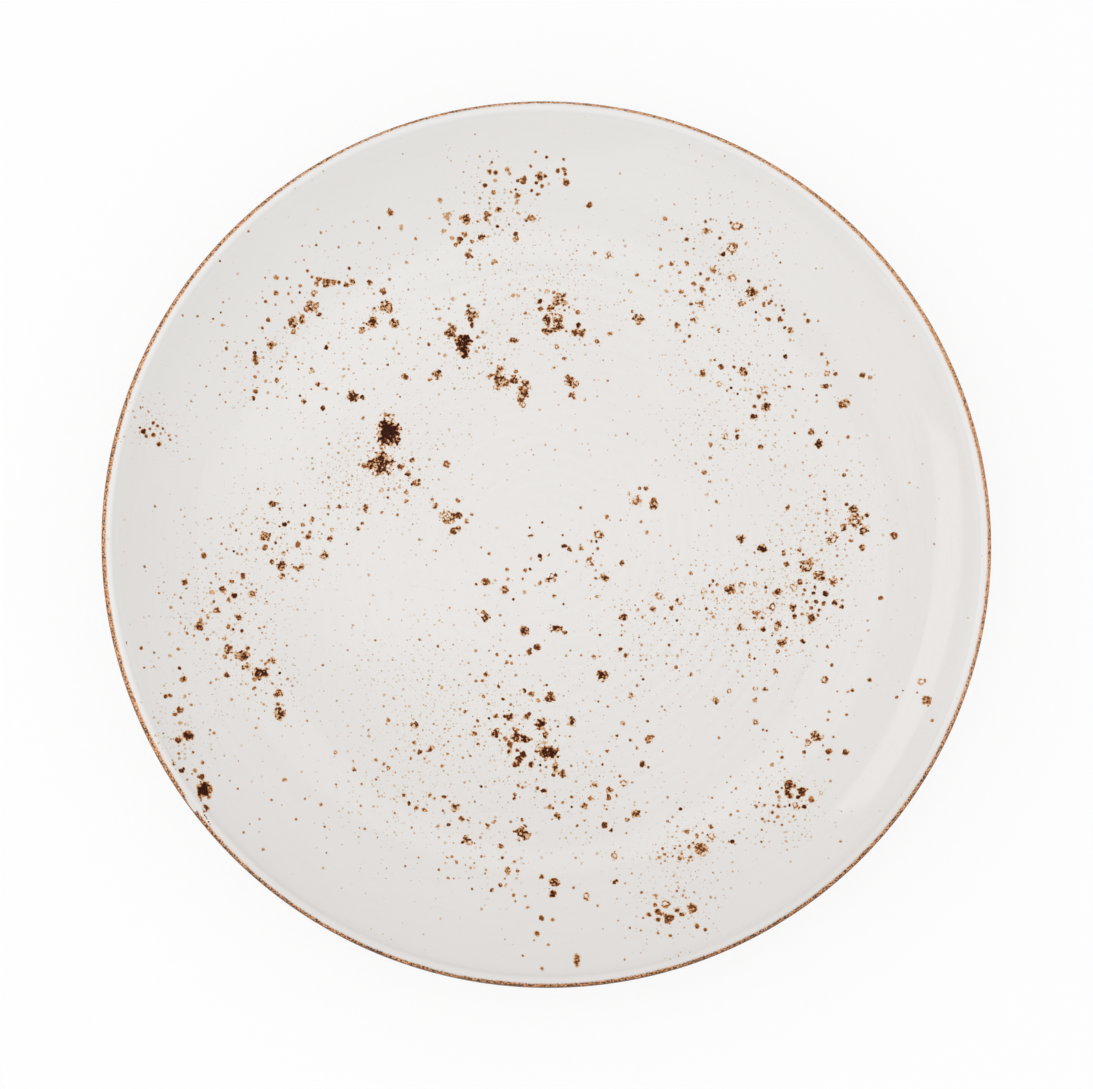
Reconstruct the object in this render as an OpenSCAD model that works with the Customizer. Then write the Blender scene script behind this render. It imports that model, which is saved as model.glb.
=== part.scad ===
// Coupe dinner plate: a fired clay body with its foot ring, under a white coat that is let through by iron
// flecks, with a brown band round the lip. The origin is the centre of the foot ring's ground face.

/* [Plate] */
// Diameter over the lip
plate_d = 280; // [260:1:300]
// Height from the table to the crest of the lip
plate_h = 24; // [21:0.5:30]
// Diameter of the flat well
well_d = 184; // [178:1:196]
// Thickness of the plate under the well, coats included
well_t = 5; // [4.5:0.1:6.5]
// How far inside the well's edge the outside of the wall starts to rise
turn_back = 5.2; // [4.6:0.1:5.8]
// Thickness of the full round lip, coats included
lip_t = 4.2; // [3.4:0.1:5]
// How far the lip's round stands proud of the wall
lip_proud = 0.1; // [0.05:0.05:0.2]

/* [Foot ring] */
// Outside diameter of the foot ring
foot_d = 168; // [130:1:170]
// Width of the foot ring, coats included
foot_w = 5.4; // [4.4:0.1:7]
// Height of the underside above the table
foot_h = 2.8; // [2.7:0.1:4]
// Height of the bare clay above the table
bare_h = 0.9; // [0.6:0.1:1.2]
// Bevel on both edges of the ground face
ground_bevel = 0.4; // [0.2:0.1:0.5]
// Radius where the foot ring runs into the underside
foot_fillet = 1.2; // [0.8:0.1:1.3]
// Least flat land between the foot ring and the turn of the wall
foot_land = 1.6; // [1:0.1:2.5]

/* [Coats] */
// Thickness of the white coat, the flecks and the brown band
coat_t = 0.4; // [0.3:0.05:0.5]
// Where the brown band starts, in degrees above the widest line of the lip
band_top_a = 70; // [55:1:80]
// Where the brown band ends, in degrees below the widest line of the lip
band_low_a = 38; // [20:1:45]

/* [Flecks] */
// How ragged the flecks' outlines are, as a share of their size
ragged_share = 0.22; // [0:0.01:0.3]
// Corners on a fleck's outline
fleck_corners = 9; // [7:1:12]

/* [Hidden] */
$fn = 180;

plate_r = plate_d / 2;
well_r = well_d / 2;
lip_r = lip_t / 2;
foot_r = foot_d / 2;
foot_in_r = foot_r - foot_w;
well_z = foot_h + well_t;
turn_r = max(well_r - turn_back, foot_r + foot_fillet + foot_land);

// Finest step that a derived radius is given in
finest = 0.001;
// How far cutting shapes run past what they cut
overrun = 1;
// The same for a slice of a disc, as a share of its radius
reach_share = 1.1;
// How far the lip's slice of the top coat laps the wall's, in degrees
lap_a = 20;
full_turn = 360;

// The lip is a full round. The inside of the wall is an arc that leaves the well level and runs up under the
// lip's round, and the outside is an arc that leaves the underside level and does the same.
lip_c = [plate_r - lip_r, plate_h - lip_r];
in_r = arc_to_lip(well_r, well_z, 1);
in_c = [well_r, well_z + in_r];
out_r = arc_to_lip(turn_r, foot_h, -1);
out_c = [turn_r, foot_h + out_r];
in_a = heading(in_c, lip_c);
out_a = heading(out_c, lip_c);
above_z = max(in_c[1], out_c[1]) + overrun;
mid_z = well_z - well_t / 2;
mid_foot_r = foot_r - foot_w / 2;

// How much farther from the viewer the flecks lie in the well than straight under their places at the lip
well_shift_shares = [0.006, 0.011];
// Main flecks: across, away from the viewer, half width and half height, as shares of the plate's radius
fleck_shares = [
    [-0.355, 0.252, 0.023, 0.032],
    [-0.368, 0.180, 0.026, 0.021],
    [-0.184, 0.450, 0.016, 0.023],
    [-0.213, 0.478, 0.010, 0.011],
    [-0.164, 0.515, 0.013, 0.013],
    [-0.103, 0.368, 0.012, 0.012],
    [-0.072, 0.372, 0.010, 0.010],
    [-0.050, 0.341, 0.014, 0.016],
    [-0.244, 0.382, 0.009, 0.009],
    [-0.072, 0.462, 0.009, 0.009],
    [0.031, 0.550, 0.013, 0.013],
    [0.026, 0.511, 0.012, 0.012],
    [0.003, 0.480, 0.010, 0.010],
    [0.072, 0.483, 0.014, 0.010],
    [0.057, 0.366, 0.013, 0.013],
    [-0.220, 0.064, 0.016, 0.016],
    [-0.356, 0.533, 0.015, 0.013],
    [-0.387, 0.501, 0.012, 0.010],
    [-0.340, 0.497, 0.009, 0.009],
    [-0.491, 0.590, 0.009, 0.009],
    [-0.526, 0.535, 0.014, 0.010],
    [-0.568, 0.500, 0.010, 0.011],
    [-0.614, 0.448, 0.009, 0.009],
    [-0.434, 0.333, 0.011, 0.011],
    [-0.629, 0.018, 0.009, 0.010],
    [-0.181, 0.733, 0.010, 0.010],
    [-0.146, 0.691, 0.009, 0.009],
    [-0.013, 0.829, 0.009, 0.008],
    [0.003, -0.470, 0.020, 0.019],
    [0.020, -0.505, 0.010, 0.009],
    [-0.057, -0.438, 0.019, 0.009],
    [-0.111, -0.427, 0.010, 0.009],
    [-0.010, -0.409, 0.011, 0.009],
    [0.057, -0.401, 0.009, 0.009],
    [0.012, -0.343, 0.010, 0.011],
    [-0.136, -0.166, 0.009, 0.009],
    [-0.682, -0.252, 0.013, 0.012],
    [-0.712, -0.238, 0.010, 0.009],
    [-0.638, -0.291, 0.015, 0.012],
    [-0.600, -0.336, 0.009, 0.008],
    [-0.596, -0.382, 0.011, 0.011],
    [-0.801, -0.434, 0.010, 0.010],
    [-0.816, -0.510, 0.008, 0.007],
    [-0.766, -0.555, 0.016, 0.017],
    [-0.763, -0.597, 0.009, 0.009],
    [0.584, -0.049, 0.015, 0.013],
    [0.612, -0.071, 0.010, 0.008],
    [0.645, -0.083, 0.011, 0.010],
    [0.519, -0.109, 0.009, 0.008],
    [0.552, -0.143, 0.008, 0.008],
    [0.597, -0.170, 0.010, 0.009],
    [0.522, -0.178, 0.009, 0.007],
    [0.413, -0.102, 0.010, 0.010],
    [0.485, -0.010, 0.009, 0.010],
    [0.695, 0.055, 0.013, 0.013],
    [0.641, 0.012, 0.012, 0.011],
    [0.545, -0.553, 0.010, 0.018],
    [0.575, -0.558, 0.010, 0.010],
    [0.606, -0.433, 0.013, 0.009],
    [0.348, -0.691, 0.013, 0.013],
    [0.278, -0.843, 0.011, 0.009],
    [0.327, -0.820, 0.011, 0.012],
    [0.853, -0.354, 0.009, 0.011],
    [0.202, -0.608, 0.008, 0.010],
    [0.070, -0.940, 0.008, 0.013],
    [0.019, -0.763, 0.010, 0.009],
    [0.015, -0.791, 0.009, 0.009],
    [-0.054, -0.652, 0.015, 0.014],
    [-0.177, -0.670, 0.010, 0.010],
    [-0.204, -0.593, 0.009, 0.009],
    [0.428, 0.716, 0.010, 0.010],
    [0.418, 0.667, 0.011, 0.011],
    [0.459, 0.566, 0.011, 0.011],
    [0.208, 0.505, 0.010, 0.010],
    [0.099, 0.767, 0.008, 0.008],
    [0.494, 0.308, 0.009, 0.009],
    [0.666, 0.320, 0.012, 0.012],
    [0.612, 0.225, 0.009, 0.009],
    [0.202, 0.096, 0.012, 0.011],
    [0.132, -0.073, 0.010, 0.009],
    [0.021, -0.190, 0.013, 0.008],
    [0.173, -0.165, 0.008, 0.008],
    [0.125, -0.297, 0.011, 0.010],
];

function heading(from, to) = atan2(to[1] - from[1], to[0] - from[0]);
function spot(c, r, a) = c + r * [cos(a), sin(a)];
// Radius of the arc that leaves the level z at r and runs up to the lip's round, less what the lip stands
// proud: side is 1 where the round lies outside the arc, and -1 where it lies inside
function arc_to_lip(r, z, side) =
    let (across = lip_c[0] - r, up = lip_c[1] - z, seat = lip_r - lip_proud)
    round((across * across + up * up - seat * seat) / (2 * (up + side * seat)) / finest) * finest;

// A slice of a disc, less than half of it
module sector(c, r, from_a, to_a)
    intersection() {
        translate(c) circle(r);
        let (reach = reach_share * r / cos((to_a - from_a) / 2))
        polygon([c, spot(c, reach, from_a), spot(c, reach, to_a)]);
    }

// An upright rectangle between two corners
module slab(low, high)
    translate(low) square(high - low);

// The quarter of a fillet beside the foot ring: side is 1 outside the ring and -1 inside it
module fillet_section(wall_r, side, inset) {
    c = [wall_r + side * foot_fillet, foot_h - foot_fillet];
    difference() {
        slab([min(wall_r - side * inset, c[0]), c[1]], [max(wall_r - side * inset, c[0]), foot_h + inset]);
        sector(c, foot_fillet + inset, side > 0 ? 90 : 0, side > 0 ? 180 : 90);
    }
}

// Section of the plate above its foot ring, drawn in by the inset: what lies inside the outer arc, less the
// flat well and the round of the inner arc over it, and the lip
module bowl_section(inset) {
    difference() {
        union() {
            slab([0, foot_h + inset], [turn_r, in_c[1]]);
            sector(out_c, out_r - inset, -90, out_a);
        }
        slab([0, well_z - inset], [well_r, above_z]);
        translate(in_c) circle(in_r + inset);
        slab([well_r, in_c[1]], [plate_r, above_z]);
    }
    translate(lip_c) circle(lip_r - inset);
}

// Section of the foot ring, filleted into the underside
module foot_section(inset) {
    slab([foot_in_r + inset, ground_bevel], [foot_r - inset, foot_h + inset]);
    fillet_section(foot_r, 1, inset);
    fillet_section(foot_in_r, -1, inset);
}

// The ground face of the foot ring and its two bevels
module ground_section()
    polygon([
        [foot_in_r + coat_t + ground_bevel, 0],
        [foot_r - coat_t - ground_bevel, 0],
        [foot_r - coat_t, ground_bevel],
        [foot_in_r + coat_t, ground_bevel],
    ]);

// Section of everything laid on the clay, down to the bare part of the foot ring
module coats_section()
    difference() {
        union() {
            bowl_section(0);
            foot_section(0);
        }
        bowl_section(coat_t);
        foot_section(coat_t);
        slab([0, 0], [foot_r + foot_fillet, bare_h]);
    }

// Where the top coat lies
module top_zone() {
    slab([0, mid_z], [well_r, plate_h]);
    sector(in_c, in_r + lip_r, -90, in_a);
    sector(lip_c, lip_r + overrun, band_top_a, heading(lip_c, in_c) + lap_a);
}

// Where the brown band lies
module band_zone()
    sector(lip_c, lip_r + overrun, -band_low_a, band_top_a);

// Where the coat inside the foot ring lies
module foot_well_zone()
    slab([0, 0], [mid_foot_r, mid_z]);

module ceramic_body()
    color("#d9cdbd")
    rotate_extrude() {
        bowl_section(coat_t);
        foot_section(coat_t);
        ground_section();
    }

// The white coat before the flecks come through it
module top_coat()
    rotate_extrude()
    intersection() {
        coats_section();
        top_zone();
    }

// One upright column per fleck, from under the well's coat to above the lip
module fleck_columns()
    for (i = [0 : len(fleck_shares) - 1])
        let (fleck = plate_r * fleck_shares[i],
            shift = plate_r * well_shift_shares,
            bumps = rands(-ragged_share, ragged_share, fleck_corners, i + 1))
        translate([fleck[0] + shift[0], fleck[1] + shift[1], foot_h])
        linear_extrude(plate_h)
        polygon([
            for (k = [0 : fleck_corners - 1])
            let (a = full_turn * k / fleck_corners, ragged = 1 + bumps[k])
            [fleck[2] * ragged * cos(a), fleck[3] * ragged * sin(a)]
        ]);

module top_glaze()
    color("#eeeae6")
    difference() {
        top_coat();
        fleck_columns();
    }

module iron_flecks()
    color("#6b3a1e")
    intersection() {
        top_coat();
        fleck_columns();
    }

module rim_band()
    color("#a9744d")
    rotate_extrude()
    intersection() {
        coats_section();
        band_zone();
    }

module underside_glaze()
    color("#ece8e4")
    rotate_extrude()
    difference() {
        coats_section();
        top_zone();
        band_zone();
        foot_well_zone();
    }

module foot_well_glaze()
    color("#ece8e4")
    rotate_extrude()
    intersection() {
        coats_section();
        foot_well_zone();
    }

ceramic_body();
top_glaze();
iron_flecks();
rim_band();
underside_glaze();
foot_well_glaze();
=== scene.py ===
"""Coupe dinner plate: white stoneware with iron spots melted through the glaze and a brushed brown lip."""

import math
import random

import bmesh
import bpy
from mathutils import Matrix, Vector


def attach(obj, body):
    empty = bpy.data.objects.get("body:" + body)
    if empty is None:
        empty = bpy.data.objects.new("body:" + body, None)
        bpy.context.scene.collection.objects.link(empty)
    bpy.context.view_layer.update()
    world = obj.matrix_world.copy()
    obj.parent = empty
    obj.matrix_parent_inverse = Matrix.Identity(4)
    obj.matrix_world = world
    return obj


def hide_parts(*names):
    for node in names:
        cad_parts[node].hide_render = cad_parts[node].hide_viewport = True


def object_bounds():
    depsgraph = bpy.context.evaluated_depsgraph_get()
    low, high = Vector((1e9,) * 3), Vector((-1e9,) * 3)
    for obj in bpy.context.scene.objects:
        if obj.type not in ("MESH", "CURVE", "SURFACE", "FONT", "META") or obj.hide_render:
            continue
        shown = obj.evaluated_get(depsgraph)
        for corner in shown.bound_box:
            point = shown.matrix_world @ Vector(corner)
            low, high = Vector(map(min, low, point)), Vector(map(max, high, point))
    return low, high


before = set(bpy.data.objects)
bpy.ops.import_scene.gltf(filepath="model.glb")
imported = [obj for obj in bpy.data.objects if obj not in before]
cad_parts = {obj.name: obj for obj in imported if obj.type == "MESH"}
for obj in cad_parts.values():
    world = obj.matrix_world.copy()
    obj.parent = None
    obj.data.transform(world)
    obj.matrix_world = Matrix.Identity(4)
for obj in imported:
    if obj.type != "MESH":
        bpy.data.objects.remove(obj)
cad_low, cad_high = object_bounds()

MM = 0.001
TURN = 2 * math.pi
UP = Vector((0, 0, 1))

# The plate's section, as the solids have it
PLATE_R = min(cad_high.x, cad_high.y)
PLATE_H = cad_high.z
LIP_R = 2.1 * MM
LIP_PROUD = 0.1 * MM
WELL_R = 92 * MM
WELL_Z = 7.8 * MM
TURN_R = 86.8 * MM
FOOT_H = 2.8 * MM
FOOT_R = 84 * MM
FOOT_IN_R = 78.6 * MM
FOOT_FILLET = 1.2 * MM
GROUND_BEVEL = 0.4 * MM
BARE_H = 0.9 * MM
COAT_T = 0.4 * MM
# The band's limits round the lip's section, in degrees over the level through the lip's middle
BAND_TOP = 70
BAND_LOW = -38
# The glaze rounds the corner between the wall and the lip: what it leaves off on either side, in degrees
CREASE_WALL = 0.2
CREASE_LIP = 7

# The meshes: steps round the axis, the rings' spacing over the well, and how near two points count as one
SPIN_STEPS = 320
WELL_STEP = 0.56 * MM
WELD = 0.0002 * MM

# The potter's spiral with its pitch in millimetres, the slow waves under it, and the dip at the well's edge
RING_PITCH = 4.4
RING_DEPTH = 0.014 * MM
SLOW_DEPTH = 0.035 * MM
TURN_DEPTH = 0.03 * MM

# How far the middle of a full-sized spot's lens stands over the glaze, and how deep its rim sits in it
SPOT_LIFT = 0.045 * MM
SPOT_SINK = 0.012 * MM
# A spot's lens is this much wider than the spot, to leave room for its ragged edge
SPOT_ROOM = 1.55
# Half width of a spot that counts as full size
LARGEST_SPOT = 20
# A lens's steps round and up, for a spot of more than the half width that comes first
LENS_STEPS = ((9, 18, 8), (4, 12, 6), (0, 8, 4))

# The photograph's view: the plate leans this far from square on, and the camera stands towards this side
CAMERA_LEAN = math.radians(6.42)
CAMERA_SIDE = Vector((-0.465, -0.885, 0)).normalized()
CAMERA_REACH = 1.6
FRAME_PX = 1093
PLATE_PX = 891
# Where the plate's middle falls, and the middle of its outline, to the right of and above the frame's middle
MIDDLE_PX = Vector((1.8, 3.65, 0))
OUTLINE_PX = Vector((-0.6, 0.6, 0))
# Half the width and half the height of the outline in the photograph
OUTLINE_HALF_PX = Vector((446.1, 443.3, 0))
SENSOR = 36
# Rounds in which the height under a line of sight settles
SIGHT_ROUNDS = 5

# The room, the floor's share of plain white where the camera sees it, and the softboxes: where each stands,
# where it is aimed, its size and its power
AMBIENT = 0.896
FLOOR_REACH = 4
FLOOR_WHITE = 0.82
SOFTBOXES = {
    "key softbox": ((-0.35, -0.4, 0.8), (0, 0, 0), (0.85, 0.65), 0.62),
    "upper softbox": ((0.08, 0.125, 0.85), (0.08, 0.12, 0), (0.55, 0.19), 0.18),
    "side softbox": ((-1.045, 0.39, 1.0), (0.12, 0, 0), (1.3, 0.38), 1.9),
}

# Iron spots, read off the photograph: places to the right of and above the outline's middle, in
# thousandths of half its width and height, and radius. LARGE_SPOTS give half width, half height, tone and
# how hollow instead.
LARGE_SPOTS = (
    (-355, 252, 23, 32, 1.0, 0), (-368, 180, 26, 21, 0.92, 0), (-184, 450, 16, 23, 1.0, 0),
    (-212, 476, 12, 11, 0.8, 0), (-356, 533, 15, 14, 0.85, 0), (-387, 501, 13, 11, 0.85, 0),
    (-526, 535, 14, 11, 0.8, 0.3), (-568, 500, 10, 12, 0.85, 0), (-547, 505, 6, 11, 0.85, 0),
    (-497, 585, 5, 7, 0.85, 0), (3, -470, 20, 19, 0.97, 0), (-766, -555, 15, 17, 1.0, 0),
    (-220, 64, 16, 16, 0.8, 0.9), (584, -49, 15, 13, 0.9, 0.5), (695, 54, 14, 14, 0.82, 0.9),
    (547, -545, 11, 13, 0.85, 0), (-50, 343, 14, 17, 0.85, 0), (-102, 368, 13, 13, 0.88, 0.2),
    (-72, 372, 12, 11, 0.8, 0), (31, 550, 14, 13, 0.85, 0.3), (26, 511, 12, 12, 0.78, 0.8),
    (-164, 515, 13, 13, 0.85, 0), (57, 366, 13, 13, 0.82, 0), (-54, -652, 15, 14, 0.88, 0),
    (348, -691, 13, 13, 0.72, 0), (327, -820, 11, 12, 0.7, 0), (606, -434, 13, 9, 0.8, 0),
    (611, -70, 12, 10, 0.82, 0.3), (21, -190, 13, 8, 0.9, 0), (70, -940, 8, 13, 0.7, 0),
    (853, -353, 9, 11, 0.72, 0), (666, 320, 12, 11, 0.68, 0.3), (418, 667, 12, 12, 0.62, 0.9),
    (428, 716, 11, 10, 0.65, 0.9), (-638, -291, 15, 13, 0.95, 0), (-682, -252, 14, 12, 0.9, 0),
    (91, -795, 7, 11, 0.68, 0.8), (-86, -738, 6, 11, 0.65, 0.4),
)
BLACK_SPOTS = (
    (1, 873, 4), (-68, 800, 4), (-111, 717, 5), (-441, 621, 4), (-174, 537, 4), (27, 837, 3),
    (98, 764, 4), (398, 654, 5), (471, 523, 3), (208, 503, 5), (-492, 443, 5), (-411, 330, 5),
    (-300, 134, 3), (73, 492, 7), (388, 478, 3), (378, 414, 3), (415, 352, 3), (429, 338, 3),
    (-653, 431, 4), (-902, 254, 6), (-587, 44, 5), (538, 424, 5), (631, 408, 3), (612, 225, 9),
    (-700, -16, 3), (-580, -14, 3), (-594, -48, 4), (-701, -116, 7), (-701, -192, 4), (-720, -241, 4),
    (-673, -274, 5), (-597, -291, 3), (-801, -434, 11), (-594, -390, 5), (-15, -27, 5), (5, -26, 3),
    (-35, -58, 4), (-47, -330, 5), (-96, -349, 5), (-127, -393, 3), (-93, -390, 4), (-12, -409, 11),
    (-48, -438, 10), (-80, -468, 6), (-13, -499, 3), (-303, -484, 4), (7, -24, 3), (5, -82, 6),
    (200, -168, 2), (294, -173, 3), (209, -211, 2), (125, -297, 11), (27, -412, 3), (228, -400, 3),
    (228, -448, 4), (126, -498, 4), (375, -83, 4), (367, -95, 4), (485, -9, 9), (621, -77, 5),
    (651, -79, 5), (603, -97, 4), (600, -111, 4), (626, -112, 6), (523, -176, 5), (541, -188, 3),
    (507, -206, 3), (513, -289, 3), (800, -331, 2), (858, -356, 5), (522, -327, 2), (-145, -547, 3),
    (-177, -670, 10), (-98, -707, 4), (58, -593, 3), (25, -611, 3), (200, -613, 4), (302, -597, 5),
    (15, -791, 9), (86, -794, 4), (72, -949, 4), (317, -652, 3), (354, -621, 4), (364, -657, 4),
    (417, -672, 5), (291, -681, 2), (-818, -512, 6), (-812, -507, 4), (-763, -597, 8), (-765, -612, 2),
    (-762, -616, 2), (-760, -620, 2), (-756, -627, 2), (-753, -632, 2), (-552, 567, 3), (541, -562, 8),
    (575, -558, 10), (565, -572, 5), (529, -551, 3), (547, -590, 4), (578, -593, 5),
)
DARK_SPOTS = (
    (-127, 840, 6), (-13, 829, 9), (-3, 830, 6), (-22, 814, 4), (-136, 808, 5), (-32, 797, 4),
    (-374, 713, 4), (-107, 755, 7), (-181, 733, 10), (-68, 699, 5), (-146, 691, 9), (-193, 686, 7),
    (-491, 590, 9), (-464, 589, 5), (-447, 585, 6), (-340, 497, 9), (-13, 547, 5), (-11, 531, 6),
    (1, 507, 9), (304, 711, 3), (371, 704, 3), (346, 609, 4), (454, 592, 4), (460, 565, 12),
    (438, 551, 3), (347, 540, 4), (500, 543, 4), (42, 560, 6), (22, 542, 8), (10, 533, 8), (2, 509, 8),
    (30, 497, 6), (-166, 491, 5), (-72, 462, 9), (-355, 404, 3), (-434, 333, 11), (-327, 333, 3),
    (-244, 382, 9), (-46, 362, 7), (-300, 188, 6), (-310, 157, 9), (-353, 122, 3), (-446, 0, 3),
    (-196, 63, 7), (-196, 35, 6), (-8, 48, 3), (4, 481, 11), (28, 489, 10), (19, 398, 5),
    (393, 401, 6), (441, 388, 9), (479, 332, 7), (494, 308, 9), (465, 288, 7), (429, 241, 5),
    (209, 126, 4), (225, 125, 5), (241, 88, 9), (113, 6, 4), (437, 13, 9), (42, -4, 6), (-637, 487, 4),
    (-614, 448, 9), (-593, 399, 6), (-555, 394, 3), (-511, 360, 5), (-655, 329, 5), (-499, 306, 5),
    (-910, 262, 3), (-859, 260, 3), (-880, 246, 5), (-869, 226, 6), (-645, 123, 4), (-613, 90, 8),
    (-534, 16, 6), (-607, 3, 4), (-540, 87, 3), (625, 354, 3), (710, 380, 7), (606, 335, 3),
    (545, 353, 4), (558, 249, 3), (629, 251, 4), (624, 117, 4), (624, 101, 4), (690, 78, 9),
    (719, 65, 6), (667, 37, 8), (780, 18, 8), (710, -5, 5), (-593, -49, 9), (-549, -51, 6),
    (-497, -26, 9), (-809, -88, 8), (-777, -185, 9), (-682, -196, 4), (-672, -275, 10),
    (-715, -296, 6), (-821, -280, 4), (-814, -305, 8), (-853, -343, 5), (-823, -442, 8),
    (-600, -336, 9), (-595, -383, 12), (-791, -470, 3), (-145, -8, 3), (-156, -91, 3), (-93, -104, 8),
    (-73, -125, 3), (-157, -148, 3), (-136, -166, 9), (-49, -195, 10), (-19, -234, 7), (-156, -309, 4),
    (4, -348, 6), (-112, -387, 8), (-81, -390, 8), (-153, -400, 4), (-1, -431, 8), (-111, -427, 10),
    (-66, -437, 10), (-50, -474, 7), (-62, -485, 8), (-34, -498, 7), (-283, -469, 6), (132, -73, 10),
    (240, -147, 6), (282, -143, 6), (294, -125, 6), (173, -165, 8), (166, -239, 6), (12, -343, 10),
    (57, -401, 9), (215, -498, 7), (20, -504, 9), (413, -102, 10), (487, -191, 6), (378, -353, 8),
    (645, -83, 11), (570, -87, 6), (519, -109, 9), (580, -104, 4), (606, -129, 5), (648, -133, 6),
    (662, -142, 5), (552, -143, 8), (595, -144, 4), (557, -164, 5), (597, -168, 9), (575, -219, 6),
    (672, -471, 7), (-307, -586, 5), (-229, -571, 5), (-204, -593, 9), (-131, -635, 6),
    (-218, -633, 4), (-101, -769, 5), (-71, -574, 4), (-5, -557, 6), (165, -523, 4), (26, -614, 7),
    (14, -621, 3), (69, -636, 4), (147, -646, 6), (202, -608, 9), (155, -762, 6), (19, -763, 10),
    (250, -829, 7), (278, -843, 11), (293, -827, 7), (304, -836, 6), (270, -838, 6), (324, -706, 5),
    (-771, -526, 7), (-773, -538, 4), (-756, -571, 5), (533, 528, 4), (500, 508, 6), (547, -566, 8),
    (523, -592, 6),
)
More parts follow.
